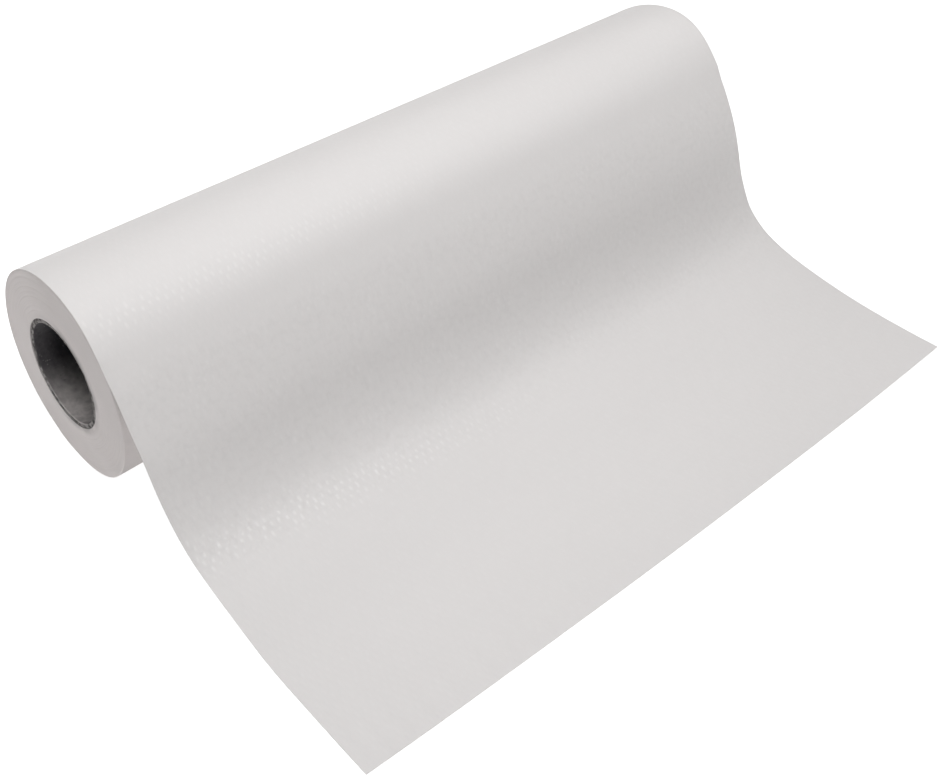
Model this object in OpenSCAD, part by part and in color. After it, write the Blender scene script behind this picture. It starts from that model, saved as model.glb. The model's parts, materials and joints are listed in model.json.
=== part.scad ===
// Exam table paper roll, lying on its side with its free end drawn out over the table.
// Millimetres, +Z up. The origin is the middle of the core's bore and the roll lies along X.
// The free sheet comes over the top and leaves towards -Y.

/* [Paper roll] */
// Width of the paper, which is the length of the roll
paper_w = 500; // [350:10:700]
// Diameter of the full roll
roll_d = 123; // [104:1:150]
// How far the soft roll is pressed flat where it rests
flat_depth = 1; // [0.5:0.1:2]
// Thickness of the free sheet, two embossed plies
sheet_t = 0.4; // [0.3:0.05:0.6]

/* [Turns on the roll's ends] */
// Distance between one visible turn and the next
turn_pitch = 2.8; // [2.2:0.1:5]
// Width of the line between two visible turns
turn_line_w = 0.5; // [0.3:0.1:0.8]
// Depth of that line
turn_line_depth = 0.3; // [0.2:0.1:0.6]

/* [Core] */
// Outer diameter of the chipboard core
core_od = 67; // [50:1:76]
// Thickness of the core's wall
core_wall = 3; // [1.5:0.25:5]
// How far each end of the core sits inside the paper
core_inset = 1; // [0.5:0.25:4]

/* [Free sheet] */
// Height of the place where the sheet leaves the roll, as an angle above its axis
leave_angle = 40; // [32:1:52]
// Radius of the slack curl that the sheet keeps just off the roll
curl_r = 250; // [200:10:350]
// Steepest slope of the hanging sheet
steep_angle = 60; // [60:1:68]
// Length of the straight stretch at that slope
fall_len = 14; // [6:1:22]
// Distance from the roll's axis to the cut front edge
reach = 267; // [230:1:420]

/* [Hidden] */
$fn = 96;

roll_r = roll_d / 2;
core_r = core_od / 2;
floor_z = flat_depth - roll_r;
cut_margin = 5;

// Angle over which the sheet's root is sunk into the roll, and how far it stands proud there
root_angle = 5;
root_lift = sheet_t / 8;

// The bend on the table eases in, tightens and eases out: slopes where its radius changes,
// and the radius of each stretch as a multiple of the tightest one
ease_in_angle = 43;
ease_out_angle = 16;
ease_in_ratio = 2.35;
ease_out_ratio = 3;
// Degrees of slope from one point of a curved stretch to the next
arc_step = 3;

// Place of a point at radius r, as [Y, Z], with the angle measured up from the roll's front
function polar(r, angle) = [-r * cos(angle), r * sin(angle)];

// End of a curved stretch that starts at p with slope a0 and has slope a1 there.
// A positive radius curls down as the roll does, a negative one bends out onto the table.
function bend_to(p, a0, a1, r) = [p[0] - r * (sin(a1) - sin(a0)), p[1] + r * (cos(a1) - cos(a0))];

// Points of that stretch, each as [Y, Z, slope]
function stretch(p, a0, a1, r) =
    let (steps = ceil(abs(a1 - a0) / arc_step))
    [for (i = [1:steps])
        let (a = a0 + (a1 - a0) * i / steps, q = bend_to(p, a0, a, r))
        [q[0], q[1], a]];

// Drop of a curved stretch for a radius of one
function unit_drop(a0, a1) = abs(cos(a1) - cos(a0));

// The tightest radius on the table follows from the height that is left to come down
leave_slope = 90 - leave_angle;
leave_point = polar(roll_r + root_lift, leave_angle);
landing_z = floor_z + sheet_t;
bend_drop = leave_point[1] - landing_z
    - curl_r * unit_drop(leave_slope, steep_angle)
    - fall_len * sin(steep_angle);
bend_r = bend_drop
    / (ease_in_ratio * unit_drop(steep_angle, ease_in_angle)
        + unit_drop(ease_in_angle, ease_out_angle)
        + ease_out_ratio * unit_drop(ease_out_angle, 0));

curl_end = bend_to(leave_point, leave_slope, steep_angle, curl_r);
fall_end = curl_end - fall_len * [cos(steep_angle), sin(steep_angle)];
ease_in_end = bend_to(fall_end, steep_angle, ease_in_angle, -ease_in_ratio * bend_r);
tight_end = bend_to(ease_in_end, ease_in_angle, ease_out_angle, -bend_r);

// Upper face of the free sheet, from the roll to the cut edge
sheet_path = concat(
    [[leave_point[0], leave_point[1], leave_slope]],
    stretch(leave_point, leave_slope, steep_angle, curl_r),
    [[fall_end[0], fall_end[1], steep_angle]],
    stretch(fall_end, steep_angle, ease_in_angle, -ease_in_ratio * bend_r),
    stretch(ease_in_end, ease_in_angle, ease_out_angle, -bend_r),
    stretch(tight_end, ease_out_angle, 0, -ease_out_ratio * bend_r),
    [[-reach, landing_z, 0]]);

// The same point on the under face
function under_face(p) = [p[0] + sheet_t * sin(p[2]), p[1] - sheet_t * cos(p[2])];

// The visible turns run between the core and the pressed flat
turns_out_r = roll_r - flat_depth - turn_pitch / 2;
turn_count = floor((turns_out_r - core_r) / turn_pitch - 0.5);
steps_per_turn = 36;
turn_steps = turn_count * steps_per_turn;

// A point on one side of the line between turns, which runs inwards from the free sheet
function turn_point(i, side) =
    let (turns = i / steps_per_turn)
    polar(turns_out_r - turn_pitch * turns + side * turn_line_w / 2, leave_angle + 360 * turns);

// Lays a shape's own Z along X, with its X along Y and its Y up
module along_roll() {
    rotate([90, 0, 90]) children();
}

module tube(outer_r, inner_r, length) {
    difference() {
        cylinder(h = length, r = outer_r, center = true);
        cylinder(h = length + 2 * cut_margin, r = inner_r, center = true);
    }
}

module turn_line() {
    polygon(concat(
        [for (i = [0:turn_steps]) turn_point(i, 1)],
        [for (i = [turn_steps:-1:0]) turn_point(i, -1)]));
}

// Cut that draws the turns on both ends of the roll
module turn_cuts() {
    for (end = [0, 1])
        mirror([0, 0, end])
            translate([0, 0, paper_w / 2 - turn_line_depth])
                linear_extrude(turn_line_depth + cut_margin) turn_line();
}

module free_sheet() {
    root_out = polar(roll_r - sheet_t / 2, leave_angle + root_angle);
    root_in = polar(roll_r - sheet_t * 3 / 2, leave_angle + root_angle);
    last = len(sheet_path) - 1;
    linear_extrude(paper_w, center = true)
        polygon(concat(
            [root_out],
            [for (p = sheet_path) [p[0], p[1]]],
            [for (i = [last:-1:0]) under_face(sheet_path[i])],
            [root_in]));
}

// Below the table top
module below_floor() {
    translate([-roll_d, floor_z - roll_d, -paper_w])
        cube([2 * roll_d, roll_d, 2 * paper_w]);
}

// Chipboard tube that the paper is wound on
module core_tube() {
    color("#77716d")
        along_roll()
            tube(core_r, core_r - core_wall, paper_w - 2 * core_inset);
}

// The whole web of paper: its wound turns and the free sheet are one piece
module paper_roll() {
    color("#eeedeb")
        along_roll()
            union() {
                difference() {
                    tube(roll_r, core_r, paper_w);
                    below_floor();
                    turn_cuts();
                }
                free_sheet();
            }
}

core_tube();
paper_roll();
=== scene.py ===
# Exam table paper roll: soft white embossed tissue wound on a grey chipboard core,
# lying on its side with the free sheet drawn out over the table.
import json
import math

import bmesh
import bpy
import numpy as np
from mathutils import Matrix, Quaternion, Vector


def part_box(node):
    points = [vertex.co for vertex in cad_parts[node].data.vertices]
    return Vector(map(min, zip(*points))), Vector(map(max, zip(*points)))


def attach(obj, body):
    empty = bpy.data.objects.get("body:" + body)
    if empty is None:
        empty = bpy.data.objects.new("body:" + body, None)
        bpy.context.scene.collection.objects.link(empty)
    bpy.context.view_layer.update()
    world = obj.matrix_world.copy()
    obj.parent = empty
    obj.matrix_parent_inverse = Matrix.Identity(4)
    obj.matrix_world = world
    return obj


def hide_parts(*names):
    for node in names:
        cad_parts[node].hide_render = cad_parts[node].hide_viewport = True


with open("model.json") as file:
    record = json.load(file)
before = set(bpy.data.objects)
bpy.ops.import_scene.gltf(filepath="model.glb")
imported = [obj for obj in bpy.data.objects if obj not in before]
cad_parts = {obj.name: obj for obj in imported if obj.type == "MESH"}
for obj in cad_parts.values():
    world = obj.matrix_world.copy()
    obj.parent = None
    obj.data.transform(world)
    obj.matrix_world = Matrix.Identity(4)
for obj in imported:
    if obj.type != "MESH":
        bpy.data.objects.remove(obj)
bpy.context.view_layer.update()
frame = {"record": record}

# One millimetre in the scene's metres
MM = 0.001

# Sizes read from the frame
PAPER_LOW, PAPER_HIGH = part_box("paper_roll")
CORE_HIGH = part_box("core_tube")[1]
HALF_W = PAPER_HIGH[0]
ROLL_R = PAPER_HIGH[2]
TABLE_Z = PAPER_LOW[2]
CORE_R = CORE_HIGH[2]
BORE_R = next(m for m in frame["record"]["mounts"] if m["name"] == "core_bore")["dims"]["r_mm"] * MM

# Two embossed plies, and the dots pressed into them in staggered rows
SHEET_T = 0.4 * MM
DOT_ACROSS = 5.0 * MM
DOT_ALONG = 10.0 * MM
# Slack tissue cockles in shallow hollows of this size
COCKLE_SPAN = 5.0 * MM
# The mesh samples each repeat of the dots four times. One step of the sheet's underside is as long as
# several steps of its upper face
STEP_ACROSS = DOT_ACROSS / 4
STEP_ALONG = DOT_ALONG / 4
COARSE_ACROSS = 4
COARSE_ALONG = 2

# Angles round the roll count upwards from its front. The outermost turn starts behind the roll, close to
# the table, and leaves it at the front
LAP_START_ANGLE = math.radians(256)
LEAVE_ANGLE = math.radians(40)
FREE_LENGTH = 264 * MM
# The web gives up the roll's swells and its inset edges over this length
LET_GO_LENGTH = 25 * MM

# Slope of the free sheet in degrees on its left and its right, so many mm from where it leaves the roll
SLOPE_AT = [0, 22, 44, 64, 84, 104, 130, 165, 210, 270]
SLOPE_LEFT = [50, 54, 52, 56, 47, 35, 15.5, 13, 0, 0]
SLOPE_RIGHT = [50, 51, 58, 63, 54, 39, 14, 3.5, 0, 0]
SLOPE_STEP = 0.5 * MM

# The front of the sheet is drawn off square, its corners lift and its cut edge is bowed
DRIFT = 0.0117
DRIFT_FROM = 60 * MM
LIFT_FROM = 190 * MM
LIFT_LEFT = 1.9 * MM
LIFT_RIGHT = 3.8 * MM
EDGE_BOW = 2.4 * MM
EDGE_SKEW = 2.0 * MM
# Soft dents in the sheet: place across and along, depth and reach, all in mm
EDGE_DENTS = [(-250, 6, -0.7, 7), (-250, 52, 0.5, 9), (250, 4, -0.6, 8), (250, 99, -0.7, 8),
              (120, 150, 0.4, 22)]
# Broad soft buckles in the free sheet, and small flutes that run back from the left of its cut edge
BUCKLE_HEIGHT = 0.25 * MM
FLUTE_HEIGHT = 0.12 * MM
FLUTE_REACH = 45 * MM

# A soft roll is out of round, most of all at its ends
SOFT_END_FROM = 180 * MM
RIPPLE = 0.12 * MM
LEFT_OVAL = 0.8 * MM
LEFT_OVAL_AT = math.radians(-73)
LEFT_RISE = 0.3 * MM
LEFT_FLAT_BACK = 0.8 * MM
LEFT_SAG = 2.5 * MM
LEFT_SAG_AT = math.radians(-45)
LEFT_SAG_SPREAD = math.radians(28)
RIGHT_SHOULDER = 2.1 * MM
RIGHT_SHOULDER_AT = math.radians(80)
RIGHT_SHOULDER_SPREAD = math.radians(24)

# The relief shows in a band on the roll's front and in one at the fold, where the sheet meets the table a
# little askew. Both bands fade out across the middle of the sheet
ROLL_BAND_AT = -20 * MM
ROLL_BAND_REACH = 7 * MM
FOLD_AT = 115 * MM
FOLD_SKEW = 0.08
FOLD_REACH = 9 * MM
BANDS_END = 40 * MM
BANDS_FADE = 200 * MM
HANGING_LENGTH = 150 * MM
# Shares of the full relief: everywhere, in the hanging sheet (the dots in patches), on the roll, at the fold
DOT_SHARES = (0.1, 0.2, 0.5, 1.0)
COCKLE_SHARES = (0.06, 0.8, 0.12, 0.2)
# The same two shares on the turn below, and the margins over which relief fades out towards an edge
INNER_DOT_SHARE = 0.3
INNER_COCKLE_SHARE = 0.15
EDGE_MARGIN = 2 * MM
START_MARGIN = 6 * MM
END_MARGIN = 3 * MM

# The rounded rims of the wound roll, and how far the outermost turn's edges lie inside its ends
RIM_R = 1.0 * MM
RIM_STEPS = 3
EDGE_INSET = 0.6 * MM
# The ends show a spiral line of this pitch, on so many steps from the core to the rim
TURN_PITCH = 2.8 * MM
RADIAL_STEPS = 80
# Where the outermost turn hides it, the wound roll is a coarser grid just below
HIDDEN_STEP = math.radians(3)
HIDDEN_STOP = math.radians(0.5)
HIDDEN_GAP = 0.06 * MM

# The core lies nearly level with the ends of the paper, and its sawn edges are worn round
CORE_HALF = CORE_HIGH[0] + 0.7 * MM
CORE_EDGE = 0.5 * MM
CORE_AROUND = 256
CORE_RIM_STEPS = 6
CORE_EDGE_STEPS = 3
# Its bore is a finer grid at the mouths, as far as one sees into it
MOUTH_STEP = 1.2 * MM
MOUTH_STEPS = 50
# The inner ply's seam climbs one turn in each ply width
PLY_WIDTH = 90 * MM
SEAM_W = 1.6 * MM
SEAM_DEPTH = 0.35 * MM
# The wall is a little rough, and the rims fray further
WALL_ROUGHNESS = 0.05 * MM
RIM_ROUGHNESS = 0.22 * MM
FRAY_REACH = 1.5 * MM

# Slivers of pulp stand on each rim between two radii, rooted just below its face
FIBRE_BAND = (BORE_R + 0.1 * MM, CORE_R - 0.5 * MM)
FIBRE_ROOT = 0.25 * MM
FIBRE_AROUND = 96

# What each Geometry Nodes tree is given
EMBOSS = {"Dot pitch across": DOT_ACROSS, "Dot pitch along": DOT_ALONG, "Dot height": 0.5 * MM,
          "Cockle height": 1.1 * MM}
TURNS = {"Line depth": 0.1 * MM, "Line share": 0.18, "Proud turns": 0.2 * MM}
FIBRES = {"Fibre length": 1.0 * MM, "Fibre width": 0.07 * MM, "Fibres per square metre": 400000.0}

# The table and the room behind it glow white. The soft lights: name, place, aim, width, height and watts
TABLE_HALF = 30.0
TABLE_GLOW = 0.84
ROOM_GLOW = 0.84
SOFTBOXES = [("overhead", (0, -0.1, 1.1), (0, -0.05, 0), 1.6, 1.0, 15.2),
             ("behind", (0, 1.2, 1.1), (0, 0, 0), 2.4, 0.8, 2.0),
             ("left_fill", (-1.8, -0.2, 0.6), (-0.25, 0, 0), 1.0, 1.0, 1.2),
             ("right_fill", (1.6, -0.1, 0.9), (0.25, 0, 0), 1.0, 1.0, 1.3)]


def linear(code):
    """Linear colour of an sRGB hex code."""
    parts = [int(code[i:i + 2], 16) / 255 for i in (1, 3, 5)]
    return [c / 12.92 if c <= 0.04045 else ((c + 0.055) / 1.055) ** 2.4 for c in parts] + [1.0]


def add(tree, kind, inputs=None, **settings):
    """Adds a node. inputs gives each socket a value or another node's output to link from."""
    node = tree.nodes.new(kind)
    for name, value in settings.items():
        setattr(node, name, value)
    for key, value in (inputs or {}).items():
        if isinstance(value, bpy.types.NodeSocket):
            tree.links.new(value, node.inputs[key])
        else:
            node.inputs[key].default_value = value
    return node


def product(tree, first, *others):
    """Output of the nodes that multiply these values or outputs."""
    for other in others:
        first = add(tree, "ShaderNodeMath", {0: first, 1: other}, operation="MULTIPLY").outputs[0]
    return first


def dot_relief(tree, across, along, pitch_across, pitch_along):
    """Height from 0 to 1 of the embossed dots, which sit in staggered rows."""
    waves = []
    for place, pitch in ((across, pitch_across), (along, pitch_along)):
        repeats = add(tree, "ShaderNodeMath", {0: place, 1: pitch}, operation="DIVIDE").outputs[0]
        phase = product(tree, repeats, math.tau)
        waves.append(add(tree, "ShaderNodeMath", {0: phase}, operation="COSINE").outputs[0])
    return add(tree, "ShaderNodeMath", {0: product(tree, *waves), 1: 0.0}, operation="MAXIMUM").outputs[0]


def axis_distance(tree, place):
    """Distance of a place from the roll's axis."""
    beside = add(tree, "ShaderNodeVectorMath", {0: place, 1: (0, 1, 1)}, operation="MULTIPLY").outputs[0]
    return add(tree, "ShaderNodeVectorMath", {0: beside}, operation="LENGTH").outputs["Value"]


def new_material(name, roughness, specular=0.5):
    """A material of this roughness, with its tree and its shader."""
    material = bpy.data.materials.new(name)
    material.use_nodes = True
    tree = material.node_tree
    tree.nodes.clear()
    shader = add(tree, "ShaderNodeBsdfPrincipled", {"Roughness": roughness, "Specular IOR Level": specular})
    add(tree, "ShaderNodeOutputMaterial", {"Surface": shader.outputs[0]})
    return material, tree, shader


def embossed_tissue():
    """Two-ply wet-creped tissue: matt, faintly cloudy, with soft dots and fine cross wrinkles, painted
    highlights on the dots and painted shade in the deepest cockles.
    """
    material, tree, shader = new_material("embossed_tissue", roughness=0.5, specular=0.4)
    web = add(tree, "ShaderNodeAttribute", attribute_name="web").outputs["Vector"]
    axes = add(tree, "ShaderNodeSeparateXYZ", {0: web}).outputs
    dots = dot_relief(tree, axes[0], axes[1], DOT_ACROSS, DOT_ALONG)
    relief = add(tree, "ShaderNodeAttribute", attribute_name="relief").outputs["Vector"]
    shares = add(tree, "ShaderNodeSeparateXYZ", {0: relief}).outputs
    # Clouds of pulp about 7 mm across
    clouds = add(tree, "ShaderNodeTexNoise", {"Vector": web, "Scale": 1 / (7 * MM), "Detail": 3.0}).outputs[0]
    tint = add(tree, "ShaderNodeMix", {0: clouds, 6: linear("#e5e2e1"), 7: linear("#e7e4e3")},
               data_type="RGBA").outputs[2]
    # Painted highlight: the raised dots are painted a little paler where they would catch the light, more in
    # some places than in others
    patchy = add(tree, "ShaderNodeTexNoise", {"Vector": web, "Scale": 1 / (5 * MM), "Detail": 1.0}).outputs[0]
    crisp = add(tree, "ShaderNodeMapRange", {0: patchy, 1: 0.4, 2: 0.6, 3: 0.1, 4: 0.6}).outputs[0]
    raised = product(tree, dots, shares[0], crisp)
    tint = add(tree, "ShaderNodeMix", {0: raised, 6: tint, 7: linear("#fbf9f8")}, data_type="RGBA").outputs[2]
    # Painted shade: the deepest cockles, about 4 mm across, are painted a little greyer, as shade in their
    # hollows
    cockle = add(tree, "ShaderNodeTexNoise", {"Vector": web, "Scale": 1 / (4 * MM), "Detail": 3.0}).outputs[0]
    deepest = add(tree, "ShaderNodeMapRange", {0: cockle, 1: 0.48, 2: 0.68, 3: 0.0, 4: 1.0}).outputs[0]
    shaded = product(tree, deepest, shares[1])
    tint = add(tree, "ShaderNodeMix", {0: shaded, 6: tint, 7: linear("#e3e0df")}, data_type="RGBA").outputs[2]
    # Crepe wrinkles run across the web, 5 mm long and 0.9 mm apart
    stretch = add(tree, "ShaderNodeMapping", {"Vector": web, "Scale": (1 / (5 * MM), 1 / (0.9 * MM), 0)})
    crepe = add(tree, "ShaderNodeTexNoise", {"Vector": stretch.outputs[0], "Scale": 1.0, "Detail": 4.0})
    crepe_bump = add(tree, "ShaderNodeBump", {"Height": crepe.outputs[0], "Strength": 1.0,
                                              "Distance": 0.05 * MM})
    dot_bump = add(tree, "ShaderNodeBump", {"Height": dots, "Strength": 1.0, "Distance": 0.06 * MM,
                                            "Normal": crepe_bump.outputs[0]})
    tree.links.new(tint, shader.inputs["Base Color"])
    tree.links.new(dot_bump.outputs[0], shader.inputs["Normal"])
    return material


def shaded_inner_tissue():
    """The same tissue one turn further in, painted greyer as shade under the free sheet, and darker still
    towards the bottom as painted shade.
    """
    material, tree, shader = new_material("shaded_inner_tissue", roughness=0.9, specular=0.2)
    web = add(tree, "ShaderNodeAttribute", attribute_name="web").outputs["Vector"]
    clouds = add(tree, "ShaderNodeTexNoise", {"Vector": web, "Scale": 1 / (7 * MM), "Detail": 3.0}).outputs[0]
    # Painted shade: this turn is painted greyer than the free sheet that shades it
    tint = add(tree, "ShaderNodeMix", {0: clouds, 6: linear("#d1cccb"), 7: linear("#d9d4d3")},
               data_type="RGBA").outputs[2]
    place = add(tree, "ShaderNodeTexCoord").outputs["Object"]
    height = add(tree, "ShaderNodeSeparateXYZ", {0: place}).outputs[2]
    # Painted shade: darker towards the bottom, down to the table
    painted_shade = add(tree, "ShaderNodeMapRange", {0: height, 1: 6 * MM, 2: -38 * MM, 3: 0.0, 4: 1.0}).outputs[0]
    tint = add(tree, "ShaderNodeMix", {0: painted_shade, 6: tint, 7: linear("#aca7a6")}, data_type="RGBA").outputs[2]
    tree.links.new(tint, shader.inputs["Base Color"])
    return material


def cut_turns():
    """The slit ends of the wound tissue: matt, a little greyer, with hair lines where turns meet, and painted
    shade round the core and over the upper front.
    """
    material, tree, shader = new_material("cut_turns", roughness=0.95, specular=0.1)
    turn = add(tree, "ShaderNodeAttribute", attribute_name="turn").outputs["Vector"]
    count = add(tree, "ShaderNodeSeparateXYZ", {0: turn}).outputs[0]
    # Single turns are 0.17 mm thick, too fine to show, so the hair lines are drawn 0.7 mm apart
    lines = add(tree, "ShaderNodeTexNoise", {"W": count, "Scale": 4.0, "Detail": 3.0},
                noise_dimensions="1D").outputs[0]
    place = add(tree, "ShaderNodeTexCoord").outputs["Object"]
    bruise = add(tree, "ShaderNodeTexNoise",
                 {"Vector": place, "Scale": 1 / (26 * MM), "Detail": 2.0}).outputs[0]
    both = add(tree, "ShaderNodeMix", {0: 0.6, 2: lines, 3: bruise}, data_type="FLOAT").outputs[0]
    tint = add(tree, "ShaderNodeMix", {0: both, 6: linear("#d0cac8"), 7: linear("#e3dddc")},
               data_type="RGBA").outputs[2]
    # Painted shade round the core and over the upper front of the ends
    grey = painted_end_shade(tree, place)
    tint = add(tree, "ShaderNodeMix", {0: grey, 6: tint, 7: linear("#a5a1a0")}, data_type="RGBA").outputs[2]
    bump = add(tree, "ShaderNodeBump", {"Height": lines, "Strength": 1.0, "Distance": 0.06 * MM})
    tree.links.new(tint, shader.inputs["Base Color"])
    tree.links.new(bump.outputs[0], shader.inputs["Normal"])
    return material


def painted_end_shade(tree, place):
    """How much painted shade greys the ends: round the core, most at the front, and over their upper front.
    """
    spot = add(tree, "ShaderNodeSeparateXYZ", {0: place}).outputs
    # The painted shade lies up to 5 mm from the core, in patches of 12 mm, and most of it at the front
    near = add(tree, "ShaderNodeMapRange", {0: axis_distance(tree, place), 1: CORE_R, 2: CORE_R + 5 * MM,
                                            3: 1.0, 4: 0.0}, interpolation_type="SMOOTHSTEP").outputs[0]
    drift = add(tree, "ShaderNodeTexNoise",
                {"Vector": place, "Scale": 1 / (12 * MM), "Detail": 3.0}).outputs[0]
    thick = add(tree, "ShaderNodeMapRange", {0: drift, 1: 0.35, 2: 0.65, 3: 0.1, 4: 0.8}).outputs[0]
    front = add(tree, "ShaderNodeMapRange", {0: spot[1], 1: 25 * MM, 2: -20 * MM, 3: 0.1, 4: 1.0}).outputs[0]
    # Painted shade also darkens the ends towards their upper front
    upper_front = add(tree, "ShaderNodeMath", {0: spot[2], 1: spot[1]}, operation="SUBTRACT").outputs[0]
    upper_front_shade = add(tree, "ShaderNodeMapRange",
                  {0: upper_front, 1: -20 * MM, 2: 60 * MM, 3: 0.0, 4: 0.18}).outputs[0]
    painted_shade = product(tree, near, thick, front)
    return add(tree, "ShaderNodeMath", {0: painted_shade, 1: upper_front_shade}, operation="ADD").outputs[0]


def chipboard():
    """Grey recycled board, spiral wound and sawn: dull and fibrous, with painted shade deep in the bore and
    painted light low in the bore near its mouths.
    """
    material, tree, shader = new_material("grey_chipboard", roughness=0.92, specular=0.15)
    place = add(tree, "ShaderNodeTexCoord").outputs["Object"]
    spot = add(tree, "ShaderNodeSeparateXYZ", {0: place}).outputs
    off_middle = add(tree, "ShaderNodeMath", {0: spot[0]}, operation="ABSOLUTE").outputs[0]
    # Mottled in spots of 2.5 mm, and painted darker past the first 12 mm of the bore, as shade deep inside it
    mottle = add(tree, "ShaderNodeTexNoise",
                 {"Vector": place, "Scale": 1 / (2.5 * MM), "Detail": 5.0}).outputs[0]
    deep = add(tree, "ShaderNodeMix", {0: mottle, 6: linear("#232226"), 7: linear("#403e41")},
               data_type="RGBA").outputs[2]
    mouth_tone = add(tree, "ShaderNodeMix", {0: mottle, 6: linear("#413f42"), 7: linear("#676466")},
                data_type="RGBA").outputs[2]
    first = add(tree, "ShaderNodeMapRange", {0: off_middle, 1: CORE_HALF - 14 * MM, 2: CORE_HALF - 6 * MM,
                                             3: 0.0, 4: 1.0}).outputs[0]
    tint = add(tree, "ShaderNodeMix", {0: first, 6: deep, 7: mouth_tone}, data_type="RGBA").outputs[2]
    # The saw left the rims paler, torn in patches of 3 mm
    sawn = add(tree, "ShaderNodeMath", {0: off_middle, 1: CORE_HALF - 0.35 * MM},
               operation="GREATER_THAN").outputs[0]
    torn = add(tree, "ShaderNodeTexNoise", {"Vector": place, "Scale": 1 / (3 * MM), "Detail": 3.0}).outputs[0]
    clean = add(tree, "ShaderNodeMapRange", {0: torn, 1: 0.38, 2: 0.56, 3: 0.0, 4: 1.0}).outputs[0]
    rim = add(tree, "ShaderNodeMix", {0: clean, 6: linear("#454342"), 7: linear("#8e8a89")},
              data_type="RGBA").outputs[2]
    tint = add(tree, "ShaderNodeMix", {0: sawn, 6: tint, 7: rim}, data_type="RGBA").outputs[2]
    # Painted light: the board is painted pale low in the bore near its mouths, where light falls in
    bore_light = bore_light_share(tree, place, spot[2], off_middle)
    tint = add(tree, "ShaderNodeMix", {0: bore_light, 6: tint, 7: linear("#cdc7c5")}, data_type="RGBA").outputs[2]
    # Flecks half a millimetre across
    fleck = add(tree, "ShaderNodeTexNoise",
                {"Vector": place, "Scale": 1 / (0.9 * MM), "Detail": 1.0}).outputs[0]
    spots = add(tree, "ShaderNodeMapRange", {0: fleck, 1: 0.71, 2: 0.78, 3: 0.0, 4: 0.6}).outputs[0]
    tint = add(tree, "ShaderNodeMix", {0: spots, 6: tint, 7: linear("#c0bbb8")}, data_type="RGBA").outputs[2]
    bump = add(tree, "ShaderNodeBump", {"Height": mottle, "Strength": 1.0, "Distance": 0.15 * MM})
    tree.links.new(tint, shader.inputs["Base Color"])
    tree.links.new(bump.outputs[0], shader.inputs["Normal"])
    return material


def bore_light_share(tree, place, height, off_middle):
    """How much painted light pales the board: low in the bore, and most at its mouths."""
    inside = add(tree, "ShaderNodeMath", {0: axis_distance(tree, place), 1: BORE_R + 0.6 * MM},
                 operation="LESS_THAN").outputs[0]
    low = add(tree, "ShaderNodeMapRange", {0: height, 1: -11 * MM, 2: -BORE_R, 3: 0.0, 4: 1.0}).outputs[0]
    mouth = add(tree, "ShaderNodeMapRange", {0: off_middle, 1: CORE_HALF - 24 * MM, 2: CORE_HALF - 5 * MM,
                                             3: 0.5, 4: 1.0}).outputs[0]
    # The painted light falls in patches 4 mm across
    patches = add(tree, "ShaderNodeTexNoise",
                  {"Vector": place, "Scale": 1 / (4 * MM), "Detail": 5.0}).outputs[0]
    marks = add(tree, "ShaderNodeMapRange", {0: patches, 1: 0.35, 2: 0.65, 3: 0.7, 4: 1.1}).outputs[0]
    # A few dark scratches, 6 mm long, cross them
    stretch = add(tree, "ShaderNodeMapping", {"Vector": place, "Rotation": (0.9, 0.5, 1.2),
                                              "Scale": (1 / (6 * MM), 1 / (1.5 * MM), 1 / (1.5 * MM))})
    scratch = add(tree, "ShaderNodeTexNoise", {"Vector": stretch.outputs[0], "Scale": 1.0, "Detail": 1.0})
    clear = add(tree, "ShaderNodeMapRange",
                {0: scratch.outputs[0], 1: 0.24, 2: 0.32, 3: 0.6, 4: 1.0}).outputs[0]
    return product(tree, inside, low, low, mouth, marks, clear)


def pulp_fibres():
    """Loose pulp on the sawn ends of the core: matt and nearly white."""
    material, tree, shader = new_material("pulp_fibres", roughness=0.95)
    shader.inputs["Base Color"].default_value = linear("#cfcac6")
    return material


def white_table():
    """A plain white table top, lit a little from within as a light table is."""
    material, tree, shader = new_material("white_table", roughness=0.8)
    shader.inputs["Base Color"].default_value = linear("#bcbcbc")
    shader.inputs["Emission Color"].default_value = (1, 1, 1, 1)
    shader.inputs["Emission Strength"].default_value = TABLE_GLOW
    return material


def node_tree(name, sizes):
    """A Geometry Nodes tree with a geometry input, these named sizes and a geometry output."""
    tree = bpy.data.node_groups.new(name, "GeometryNodeTree")
    tree.interface.new_socket("Geometry", in_out="INPUT", socket_type="NodeSocketGeometry")
    for size in sizes:
        tree.interface.new_socket(size, in_out="INPUT", socket_type="NodeSocketFloat")
    tree.interface.new_socket("Geometry", in_out="OUTPUT", socket_type="NodeSocketGeometry")
    return tree, add(tree, "NodeGroupInput").outputs


def stored_parts(tree, name):
    """The vector that a piece stores under this name, and its three parts."""
    stored = add(tree, "GeometryNodeInputNamedAttribute", {"Name": name}, data_type="FLOAT_VECTOR").outputs[0]
    return stored, add(tree, "ShaderNodeSeparateXYZ", {0: stored}).outputs


def end_tree(tree, geometry, material, selection=None):
    """Ends a tree in Realize Instances and Set Material."""
    real = add(tree, "GeometryNodeRealizeInstances", {0: geometry}).outputs[0]
    inputs = {"Geometry": real, "Material": material}
    if selection is not None:
        inputs["Selection"] = selection
    skin = add(tree, "GeometryNodeSetMaterial", inputs).outputs[0]
    add(tree, "NodeGroupOutput", {0: skin})


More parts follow.
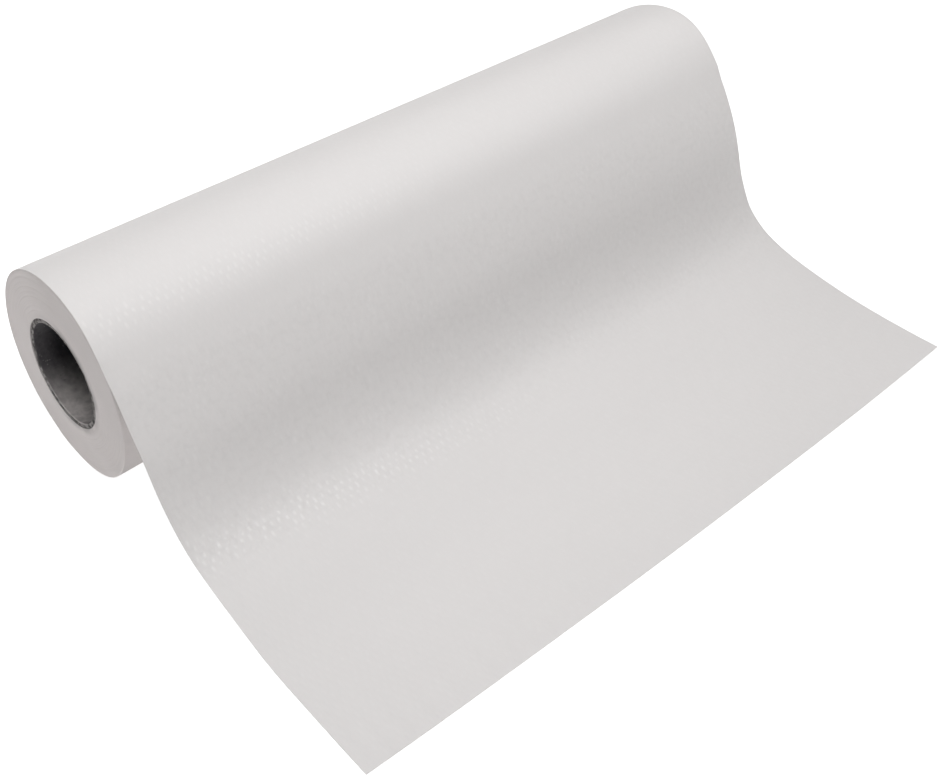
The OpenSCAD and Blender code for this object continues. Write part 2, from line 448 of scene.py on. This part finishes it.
def emboss_tree(material):
    """Raises the emboss's dots and slack tissue's cockles, as far as the relief attribute asks."""
    tree, given = node_tree("emboss_dots", EMBOSS)
    web, axes = stored_parts(tree, "web")
    shares = stored_parts(tree, "relief")[1]
    dots = dot_relief(tree, axes[0], axes[1], given["Dot pitch across"], given["Dot pitch along"])
    raised = product(tree, dots, given["Dot height"], shares[0])
    hollows = add(tree, "ShaderNodeTexNoise",
                  {"Vector": web, "Scale": 1 / COCKLE_SPAN, "Detail": 2.0}).outputs[0]
    slack = product(tree, hollows, given["Cockle height"], shares[1])
    height = add(tree, "ShaderNodeMath", {0: raised, 1: slack}, operation="ADD").outputs[0]
    normal = add(tree, "GeometryNodeInputNormal").outputs[0]
    rise = add(tree, "ShaderNodeVectorMath", {0: normal, "Scale": height}, operation="SCALE").outputs[0]
    moved = add(tree, "GeometryNodeSetPosition", {"Geometry": given["Geometry"], "Offset": rise}).outputs[0]
    cut = add(tree, "GeometryNodeInputNamedAttribute", {"Name": "cut_end"}, data_type="BOOLEAN").outputs[0]
    skin = add(tree, "FunctionNodeBooleanMath", {0: cut}, operation="NOT").outputs[0]
    end_tree(tree, moved, material, skin)
    return tree


def turns_tree(material):
    """Draws the turns on a roll's ends: a spiral hair line, and turns that stand proud or lie low."""
    tree, given = node_tree("turns_on_the_ends", TURNS)
    count, side, mask = stored_parts(tree, "turn")[1]
    part = add(tree, "ShaderNodeMath", {0: count}, operation="FRACT").outputs[0]
    line = add(tree, "ShaderNodeMath", {0: part, 1: given["Line share"]}, operation="LESS_THAN").outputs[0]
    uneven = add(tree, "ShaderNodeTexNoise", {"W": count, "Scale": 1.6, "Detail": 2.0},
                 noise_dimensions="1D").outputs[0]
    centred = add(tree, "ShaderNodeMath", {0: uneven, 1: 0.5}, operation="SUBTRACT").outputs[0]
    proud = product(tree, centred, given["Proud turns"])
    sunk = product(tree, line, given["Line depth"])
    height = add(tree, "ShaderNodeMath", {0: proud, 1: sunk}, operation="SUBTRACT").outputs[0]
    rise = add(tree, "ShaderNodeCombineXYZ", {0: product(tree, height, side, mask)}).outputs[0]
    moved = add(tree, "GeometryNodeSetPosition", {"Geometry": given["Geometry"], "Offset": rise}).outputs[0]
    cut = add(tree, "GeometryNodeInputNamedAttribute", {"Name": "cut_end"}, data_type="BOOLEAN").outputs[0]
    end_tree(tree, moved, material, cut)
    return tree


def fibres_tree(material):
    """Scatters slivers of pulp on a face, leaning every way."""
    tree, given = node_tree("fibres_on_the_rims", FIBRES)
    spread = add(tree, "GeometryNodeDistributePointsOnFaces",
                 {"Mesh": given["Geometry"], "Density": given["Fibres per square metre"], "Seed": 11})
    sliver = add(tree, "GeometryNodeMeshCone", {"Vertices": 3, "Radius Top": 0.0,
                                                "Radius Bottom": given["Fibre width"],
                                                "Depth": given["Fibre length"]}).outputs[0]
    lean = add(tree, "FunctionNodeRandomValue", {0: (-1.2, -1.2, 0.0), 1: (1.2, 1.2, math.tau), "Seed": 3},
               data_type="FLOAT_VECTOR").outputs[0]
    turned = add(tree, "FunctionNodeRotateRotation", {0: spread.outputs["Rotation"], 1: lean},
                 rotation_space="LOCAL").outputs[0]
    size = add(tree, "FunctionNodeRandomValue", {2: 0.4, 3: 1.3, "Seed": 8}, data_type="FLOAT").outputs[1]
    slivers = add(tree, "GeometryNodeInstanceOnPoints",
                  {"Points": spread.outputs["Points"], "Instance": sliver, "Rotation": turned,
                   "Scale": size}).outputs[0]
    end_tree(tree, slivers, material)
    return tree


def run_tree(piece, tree, sizes):
    """Runs a tree on a piece and keeps the result as its plain mesh."""
    modifier = piece.modifiers.new(tree.name, "NODES")
    modifier.node_group = tree
    for item in tree.interface.items_tree:
        if item.name in sizes:
            modifier[item.identifier] = sizes[item.name]
    graph = bpy.context.evaluated_depsgraph_get()
    mesh = bpy.data.meshes.new_from_object(piece.evaluated_get(graph), preserve_all_data_layers=True,
                                           depsgraph=graph)
    piece.modifiers.clear()
    piece.data = mesh


def new_piece(name, points, faces):
    """A smooth piece from arrays of points and faces."""
    mesh = bpy.data.meshes.new(name)
    mesh.from_pydata(points, [], faces)
    mesh.polygons.foreach_set("use_smooth", [True] * len(mesh.polygons))
    piece = bpy.data.objects.new(name, mesh)
    bpy.context.collection.objects.link(piece)
    return piece


def close_up(piece, sharp=50):
    """Turns a closed piece's faces outwards and marks its edges sharper than this many degrees."""
    form = bmesh.new()
    form.from_mesh(piece.data)
    if form.calc_volume(signed=True) < 0:
        bmesh.ops.reverse_faces(form, faces=form.faces)
    form.to_mesh(piece.data)
    form.free()
    piece.data.set_sharp_from_angle(angle=math.radians(sharp))


def keep_vectors(piece, name, values):
    """Stores one vector for each point of a piece."""
    piece.data.attributes.new(name, "FLOAT_VECTOR", "POINT").data.foreach_set("vector", np.ravel(values))


def keep_flags(piece, name, values):
    """Stores one true or false value for each face of a piece."""
    piece.data.attributes.new(name, "BOOLEAN", "FACE").data.foreach_set("value", values)


def grid_faces(rows, columns, first=0, flip=False):
    """Quads of a grid whose points are numbered row by row."""
    i, j = np.meshgrid(np.arange(rows - 1), np.arange(columns - 1), indexing="ij")
    a = (first + i * columns + j).ravel()
    quads = np.stack([a, a + 1, a + columns + 1, a + columns], axis=1)
    return (quads[:, ::-1] if flip else quads).tolist()


def ring_faces(rows, columns):
    """Quads of a grid that closes on itself both ways."""
    i, j = np.meshgrid(np.arange(rows), np.arange(columns), indexing="ij")
    next_i, next_j = (i + 1) % rows, (j + 1) % columns
    quads = np.stack([i * columns + j, i * columns + next_j, next_i * columns + next_j,
                      next_i * columns + j], -1)
    return quads.reshape(-1, 4).tolist()


def surface_normals(grid):
    """Unit normals of a grid of points."""
    normal = np.cross(np.gradient(grid, axis=1), np.gradient(grid, axis=0))
    return normal / np.linalg.norm(normal, axis=-1, keepdims=True)


def soft_step(t):
    """From 0 to 1 with level ends."""
    t = np.clip(t, 0, 1)
    return t * t * (3 - 2 * t)


def bell(t):
    """A bell curve: 1 at 0, and next to nothing past 2."""
    return np.exp(-t ** 2)


def smooth_through(at, places, values):
    """A curve through the values without overshoot."""
    places, values = np.array(places, float), np.array(values, float)
    steps = np.diff(values) / np.diff(places)
    same = steps[:-1] * steps[1:] > 0
    mean = 2 * steps[:-1] * steps[1:] / np.where(same, steps[:-1] + steps[1:], 1)
    slopes = np.concatenate([[0], np.where(same, mean, 0), [0]])
    i = np.clip(np.searchsorted(places, at, side="right") - 1, 0, len(steps) - 1)
    span = places[i + 1] - places[i]
    t = np.clip((at - places[i]) / span, 0, 1)
    return (values[i] * (1 + 2 * t) * (1 - t) ** 2 + values[i + 1] * t * t * (3 - 2 * t)
            + span * (slopes[i] * t * (1 - t) ** 2 - slopes[i + 1] * t * t * (1 - t)))


def roll_swell(x, angle):
    """How far the wound roll stands out of round, most at its two ends."""
    ripple = RIPPLE * (np.sin(2 * angle + 9 * x) + np.sin(3 * angle - 14 * x + 1.3) * 0.6)
    left_end = soft_step((-x - SOFT_END_FROM) / (HALF_W - SOFT_END_FROM))
    right_end = soft_step((x - SOFT_END_FROM) / (HALF_W - SOFT_END_FROM))
    oval = LEFT_OVAL * np.cos(2 * (angle - LEFT_OVAL_AT)) + LEFT_RISE * np.sin(angle)
    flat_back = LEFT_FLAT_BACK * soft_step(0.5 - np.cos(angle))
    sag = LEFT_SAG * bell((angle - LEFT_SAG_AT) / LEFT_SAG_SPREAD)
    shoulder = RIGHT_SHOULDER * bell((angle - RIGHT_SHOULDER_AT) / RIGHT_SHOULDER_SPREAD)
    swell = ripple + (oval - flat_back + sag) * left_end + shoulder * right_end
    # Nothing stands out where the sheet leaves the roll
    from_leaving = np.abs((angle - LEAVE_ANGLE + math.pi) % math.tau - math.pi) * ROLL_R
    return swell * soft_step(from_leaving / LET_GO_LENGTH)


def rim_drop(x):
    """How far the roll's rounded rims fall below its surface."""
    into = np.clip(np.abs(x) - (HALF_W - RIM_R), 0, RIM_R)
    return RIM_R - np.sqrt(RIM_R ** 2 - into ** 2)


def free_profile(x, v):
    """Places of the free sheet before any buckles: y and z for places across and lengths along the web."""
    fine = np.arange(0, v.max() + 2 * MM, SLOPE_STEP)
    share = ((x + HALF_W) / (2 * HALF_W))[None, :]
    left = smooth_through(fine / MM, SLOPE_AT, SLOPE_LEFT)[:, None]
    right = smooth_through(fine / MM, SLOPE_AT, SLOPE_RIGHT)[:, None]
    slope = np.radians(left * (1 - share) + right * share)
    start = np.zeros((1, len(x)))
    ahead, down = (np.vstack([start, np.cumsum((part[1:] + part[:-1]) / 2 * SLOPE_STEP, axis=0)])
                   for part in (np.cos(slope), np.sin(slope)))
    start_y = -ROLL_R * math.cos(LEAVE_ANGLE)
    start_z = ROLL_R * math.sin(LEAVE_ANGLE)
    down *= (start_z - TABLE_Z - SHEET_T) / down[-1]
    y = np.array([np.interp(v, fine, start_y - ahead[:, i]) for i in range(len(x))]).T
    z = np.array([np.interp(v, fine, start_z - down[:, i]) for i in range(len(x))]).T
    return y, z


def web_shape(x, v):
    """Places on the web's upper face, for arrays of places across it and lengths along it."""
    free_y, free_z = free_profile(x, v)
    across = np.broadcast_to(x[None, :], free_y.shape)
    along = np.broadcast_to(v[:, None], free_y.shape)
    side = across / HALF_W
    lift = LIFT_LEFT * np.clip(-side, 0, 1) ** 4 + LIFT_RIGHT * np.clip(side, 0, 1) ** 3
    free_z = free_z + lift * np.clip((along - LIFT_FROM) / (v.max() - LIFT_FROM), 0, 1) ** 2
    # The buckles never go under the table
    buckle = 1 + np.sin(across / (31 * MM) + along / (44 * MM)) * np.sin(along / (37 * MM) + 1)
    free_z = free_z + BUCKLE_HEIGHT * buckle * soft_step((along - 20 * MM) / (60 * MM))
    free_y = free_y - (EDGE_BOW * (1 - side ** 2) + EDGE_SKEW * side) * soft_step(along / v.max())
    for dent_x, dent_v, depth, reach in EDGE_DENTS:
        away = np.hypot(across - dent_x * MM, along - dent_v * MM)
        free_z = free_z + depth * MM * bell(away / (reach * MM))
    flutes = 1 + np.sin(across / (2.6 * MM) + 2 * np.sin(across / (19 * MM))) * soft_step(-side * 1.6)
    free_z = free_z + FLUTE_HEIGHT * flutes * soft_step((along - v.max() + FLUTE_REACH) / FLUTE_REACH)
    # Held in and turned down at its edges on the roll, flat and full width when free
    held = soft_step(-along / LET_GO_LENGTH)
    across = across * (1 - EDGE_INSET / HALF_W * held)
    angle = LEAVE_ANGLE - along / ROLL_R
    radius = ROLL_R + roll_swell(across, angle) - rim_drop(across) * held
    on_roll = along < 0
    y = np.where(on_roll, -radius * np.cos(angle), free_y)
    z = np.where(on_roll, np.maximum(radius * np.sin(angle), TABLE_Z), free_z)
    drift = DRIFT * np.clip(-y - DRIFT_FROM, 0, None)
    return np.stack([across - drift, y, z], axis=-1)


def relief_shares(across, along):
    """Shares of the dots and of the cockles that show.

    Winding and pulling flatten them, and flexing brings them out.
    """
    left_half = soft_step((BANDS_END - across) / BANDS_FADE)
    on_roll = bell((along - ROLL_BAND_AT) / ROLL_BAND_REACH) * left_half
    fold = FOLD_AT + FOLD_SKEW * (across + HALF_W)
    at_fold = bell((along - fold) / FOLD_REACH) * left_half
    hanging = soft_step(along / (20 * MM)) * soft_step((HANGING_LENGTH - along) / (40 * MM))
    # Patches about 40 mm apart kept more of their dots
    waves = np.sin(across / (12 * MM) + 3 * np.sin(along / (25 * MM)))
    waves = waves * np.sin(along / (9 * MM) + across / (40 * MM))
    patches = soft_step((waves - 0.2) / 0.6) * hanging
    dots = sum(share * part for share, part in zip(DOT_SHARES, (1, patches, on_roll, at_fold)))
    cockles = sum(share * part for share, part in zip(COCKLE_SHARES, (1, hanging, on_roll, at_fold)))
    return dots, cockles


def sheet_faces(rows, columns):
    """Faces of a thin closed sheet, and how many of them come before those of its two long sides.

    Its upper face is a fine grid and its underside a coarse one. Each face of its edges is as long as
    one coarse step.
    """
    low_rows, low_columns = (rows - 1) // COARSE_ALONG + 1, (columns - 1) // COARSE_ACROSS + 1
    first = rows * columns
    faces = grid_faces(rows, columns, flip=True) + grid_faces(low_rows, low_columns, first)
    last = (rows - 1) * columns
    low_last = first + (low_rows - 1) * low_columns
    for j in range(low_columns - 1):
        fine = np.arange(j * COARSE_ACROSS, (j + 1) * COARSE_ACROSS + 1)
        faces.append([*fine.tolist(), first + j + 1, first + j])
        faces.append([*(last + fine[::-1]).tolist(), low_last + j, low_last + j + 1])
    before_sides = len(faces)
    low_right = first + low_columns - 1
    for i in range(low_rows - 1):
        fine = np.arange(i * COARSE_ALONG, (i + 1) * COARSE_ALONG + 1) * columns
        here, after = i * low_columns, (i + 1) * low_columns
        faces.append([*fine[::-1].tolist(), first + here, first + after])
        faces.append([*(fine + columns - 1).tolist(), low_right + after, low_right + here])
    return faces, before_sides


def free_sheet(skin, ends):
    """The outermost turn of the web and the free sheet that it runs into, as one thin closed piece."""
    lap = ROLL_R * (LAP_START_ANGLE - LEAVE_ANGLE)
    rows_back = int(lap / STEP_ALONG / COARSE_ALONG) * COARSE_ALONG
    rows_front = int(FREE_LENGTH / STEP_ALONG / COARSE_ALONG) * COARSE_ALONG
    v = np.arange(-rows_back, rows_front + 1) * STEP_ALONG
    v[-1] = FREE_LENGTH
    x = np.linspace(-HALF_W, HALF_W, round(2 * HALF_W / STEP_ACROSS) + 1)
    top = web_shape(x, v)
    normal = surface_normals(top)
    if normal[0, 0, 2] > 0:
        normal = -normal
    under = (top - normal * SHEET_T)[::COARSE_ALONG, ::COARSE_ACROSS]
    faces, before_sides = sheet_faces(*top.shape[:2])
    piece = new_piece("free_sheet", np.vstack([top.reshape(-1, 3), under.reshape(-1, 3)]), faces)
    across, along = np.meshgrid(x, v)
    level = np.zeros_like(across)
    web = np.stack([across, along, level], axis=-1)
    low_web = web[::COARSE_ALONG, ::COARSE_ACROSS]
    keep_vectors(piece, "web", np.vstack([web.reshape(-1, 3), low_web.reshape(-1, 3)]))
    # Only the upper face has relief
    margin = soft_step((HALF_W - np.abs(across)) / EDGE_MARGIN) * soft_step((v.max() - along) / EDGE_MARGIN)
    margin = margin * soft_step((along - v.min()) / START_MARGIN)
    dots, cockles = relief_shares(across, along)
    relief = np.stack([margin * dots, margin * cockles, level], axis=-1)
    keep_vectors(piece, "relief", np.vstack([relief.reshape(-1, 3), np.zeros((under[..., 0].size, 3))]))
    keep_vectors(piece, "turn", np.zeros((len(piece.data.vertices), 3)))
    keep_flags(piece, "cut_end", [k >= before_sides for k in range(len(faces))])
    run_tree(piece, skin, EMBOSS)
    run_tree(piece, ends, TURNS)
    close_up(piece)
    return piece, v


def roll_section():
    """One section of the wound roll, from the core out over a rim, along the roll and back to the core.

    Gives each point's place on the axis, its share of the way out, and how far it is up over the rim.
    """
    radial = np.linspace(0, 1, RADIAL_STEPS)
    rim = np.linspace(0, math.pi / 2, RIM_STEPS + 2)[1:-1]
    xs = np.linspace(-HALF_W, HALF_W, round(2 * HALF_W / STEP_ACROSS) + 1)[1:-1]
    path = [(-HALF_W, s, 0) for s in radial]
    path += [(-HALF_W + RIM_R * (1 - math.cos(a)), 1, math.sin(a)) for a in rim]
    path += [(x, 1, 1) for x in xs]
    path += [(HALF_W - RIM_R * (1 - math.cos(a)), 1, math.sin(a)) for a in rim[::-1]]
    path += [(HALF_W, s, 0) for s in radial[::-1]]
    return (np.array(part)[None, :] for part in zip(*path))


def wound_roll(skin, ends):
    """All the turns under the outermost one: a soft roll with a small flat where it rests."""
    start = LAP_START_ANGLE - math.tau
    seen = round((LEAVE_ANGLE - start) * ROLL_R / STEP_ALONG)
    seen_angles = LEAVE_ANGLE - np.arange(seen + 1) * STEP_ALONG / ROLL_R
    hidden_angles = np.arange(LEAVE_ANGLE + HIDDEN_STEP, LAP_START_ANGLE - HIDDEN_STOP, HIDDEN_STEP)
    angle = np.concatenate([hidden_angles[::-1], seen_angles])[:, None]
    in_sight = np.repeat([0, 1], [len(hidden_angles), len(seen_angles)])[:, None]
    # Level with the outermost turn where that starts, and one sheet lower where it leaves
    turned = (angle - start) / (LEAVE_ANGLE - start)
    outer = np.where(in_sight > 0, ROLL_R - SHEET_T * turned, ROLL_R - SHEET_T - HIDDEN_GAP)
    place_x, share, over = roll_section()
    r = CORE_R + (outer - RIM_R + roll_swell(place_x, angle) - CORE_R) * share + RIM_R * over
    z = np.maximum(r * np.sin(angle), TABLE_Z)
    x = np.broadcast_to(place_x, z.shape)
    rows, columns = z.shape
    points = np.stack([x, -r * np.cos(angle), z], axis=-1).reshape(-1, 3)
    piece = new_piece("wound_roll", points, ring_faces(rows, columns))
    # The last column of faces closes the section along the core
    column = np.arange(columns)
    on_end = (column < RADIAL_STEPS + RIM_STEPS - 1) | (column >= columns - RADIAL_STEPS - RIM_STEPS)
    on_end[-1] = False
    keep_flags(piece, "cut_end", np.tile(on_end, rows))
    level = np.zeros_like(z)
    keep_vectors(piece, "web", np.stack([x, (LEAVE_ANGLE - angle) * ROLL_R + level, level], -1))
    margin = soft_step((HALF_W - np.abs(x)) / END_MARGIN) * over * in_sight
    # Flat where it rests on the table
    margin = margin * soft_step((z - TABLE_Z - 0.2 * MM) / MM)
    relief = np.stack([INNER_DOT_SHARE * margin, INNER_COCKLE_SHARE * margin, level], -1)
    keep_vectors(piece, "relief", relief)
    turns = (r - CORE_R) / TURN_PITCH + angle / math.tau
    inner = soft_step((r - CORE_R) / MM) * (over == 0)
    keep_vectors(piece, "turn", np.stack([turns, np.sign(x), inner], -1))
    run_tree(piece, skin, EMBOSS)
    run_tree(piece, ends, TURNS)
    close_up(piece)
    return piece


def core_section():
    """One section of the core: its inner wall, right rim, outer wall and left rim, as x and radius."""
    mouth = np.arange(1, MOUTH_STEPS) * MOUTH_STEP
    inner_x = np.concatenate([-CORE_HALF + mouth, [0], CORE_HALF - mouth[::-1]])
    across_rim = CORE_R - BORE_R - 2 * CORE_EDGE
    rim = [CORE_EDGE + across_rim * k / CORE_RIM_STEPS for k in range(1, CORE_RIM_STEPS)]
    turn = [math.pi / 2 * k / CORE_EDGE_STEPS for k in range(CORE_EDGE_STEPS + 1)]
    near = [CORE_EDGE * (1 - math.cos(c)) for c in turn]
    far = [CORE_EDGE * (1 - math.sin(c)) for c in turn]
    path = [(x, BORE_R) for x in inner_x]
    path += [(CORE_HALF - f, BORE_R + n) for f, n in zip(far, near)]
    path += [(CORE_HALF, BORE_R + r) for r in rim]
    path += [(CORE_HALF - n, CORE_R - f) for f, n in zip(far, near)]
    path += [(-CORE_HALF + f, CORE_R - n) for f, n in zip(far, near)]
    path += [(-CORE_HALF, CORE_R - r) for r in rim]
    path += [(-CORE_HALF + n, BORE_R + f) for f, n in zip(far, near)]
    return (np.array(part)[None, :] for part in zip(*path))


def core(material):
    """The spiral-wound core with its sawn, slightly frayed ends and the seam of its inner ply."""
    place_x, radius = core_section()
    angle = (np.arange(CORE_AROUND) * math.tau / CORE_AROUND)[:, None]
    climbed = (place_x / PLY_WIDTH - angle / math.tau) % 1
    from_seam = np.minimum(climbed, 1 - climbed) * PLY_WIDTH
    inside = np.abs(radius - BORE_R) < 0.1 * MM
    groove = SEAM_DEPTH * bell(from_seam / (SEAM_W / 2)) * inside
    rough = np.random.default_rng(5).normal(0, 1, groove.shape)
    rough = (rough + np.roll(rough, 1, 0) + np.roll(rough, -1, 0)) / 3
    frayed = soft_step((np.abs(place_x) - CORE_HALF + FRAY_REACH) / FRAY_REACH)
    r = np.minimum(radius + groove + WALL_ROUGHNESS * rough, CORE_R)
    x = place_x - np.sign(place_x) * np.abs(rough) * RIM_ROUGHNESS * frayed
    points = np.stack([x, -r * np.cos(angle), r * np.sin(angle)], -1).reshape(-1, 3)
    piece = new_piece("chipboard_core", points, ring_faces(*r.shape))
    piece.data.materials.append(material)
    close_up(piece, 60)
    return piece


def rim_fibres(tree):
    """Slivers of pulp that stand on the core's two sawn rims."""
    angles = np.arange(FIBRE_AROUND) * math.tau / FIBRE_AROUND
    points, faces = [], []
    for side in (-1, 1):
        first = len(points)
        for r in FIBRE_BAND:
            points += [(side * (CORE_HALF - FIBRE_ROOT), -r * math.cos(a), r * math.sin(a)) for a in angles]
        for k in range(FIBRE_AROUND):
            after = (k + 1) % FIBRE_AROUND
            quad = [first + k, first + after, first + FIBRE_AROUND + after, first + FIBRE_AROUND + k]
            faces.append(quad if side > 0 else quad[::-1])
    piece = new_piece("rim_fibres", points, faces)
    run_tree(piece, tree, FIBRES)
    return piece


def table():
    """A wide white table top under the roll."""
    half = TABLE_HALF
    corners = [(-half, -half, TABLE_Z), (half, -half, TABLE_Z), (half, half, TABLE_Z), (-half, half, TABLE_Z)]
    piece = new_piece("table_top", corners, [(0, 1, 2, 3)])
    piece.data.materials.append(white_table())


def softbox(name, place, aim, width, height, power):
    """A rectangular soft light that looks at a point."""
    light = bpy.data.lights.new(name, "AREA")
    light.shape = "RECTANGLE"
    light.size, light.size_y, light.energy = width, height, power
    lamp = bpy.data.objects.new(name, light)
    lamp.location = place
    lamp.rotation_mode = "QUATERNION"
    lamp.rotation_quaternion = (Vector(aim) - Vector(place)).to_track_quat("-Z", "Y")
    bpy.context.collection.objects.link(lamp)


def lights():
    """A broad softbox overhead, weak ones behind and beside the roll, and a pale room."""
    for box in SOFTBOXES:
        softbox(*box)
    world = bpy.data.worlds.new("pale_room")
    world.use_nodes = True
    background = world.node_tree.nodes["Background"].inputs
    background["Color"].default_value = (1, 1, 1, 1)
    background["Strength"].default_value = ROOM_GLOW
    # The room is seen behind the table, but only the lamps and the table light the roll
    world.cycles_visibility.diffuse = False
    world.cycles_visibility.glossy = False
    bpy.context.scene.world = world


def camera():
    """The photograph's view: its angles, place and framing were fitted to the roll's outlines."""
    azimuth, elevation, tilt = (math.radians(d) for d in (-42.65, 48.60, 4.10))
    data = bpy.data.cameras.new("camera")
    data.lens = 46.53
    data.shift_x = 0.1489
    data.shift_y = 0.0931
    eye = bpy.data.objects.new("camera", data)
    back = Vector((math.sin(azimuth) * math.cos(elevation), -math.cos(azimuth) * math.cos(elevation),
                   math.sin(elevation)))
    eye.location = (-0.4630, -0.4561, 0.4751)
    eye.rotation_mode = "QUATERNION"
    eye.rotation_quaternion = (-back).to_track_quat("-Z", "Y") @ Quaternion((0, 0, 1), tilt)
    bpy.context.collection.objects.link(eye)
    bpy.context.scene.camera = eye
    bpy.context.scene.view_settings.view_transform = "Standard"


end_finish = turns_tree(cut_turns())
sheet_piece, sheet_v = free_sheet(emboss_tree(embossed_tissue()), end_finish)
roll_piece = wound_roll(emboss_tree(shaded_inner_tissue()), end_finish)
core_piece = core(chipboard())
fibre_piece = rim_fibres(fibres_tree(pulp_fibres()))

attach(roll_piece, "root")
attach(sheet_piece, "root")
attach(core_piece, "root")
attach(fibre_piece, "root")
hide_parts("paper_roll")
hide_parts("paper_roll")
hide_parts("core_tube")

table()
lights()
camera()
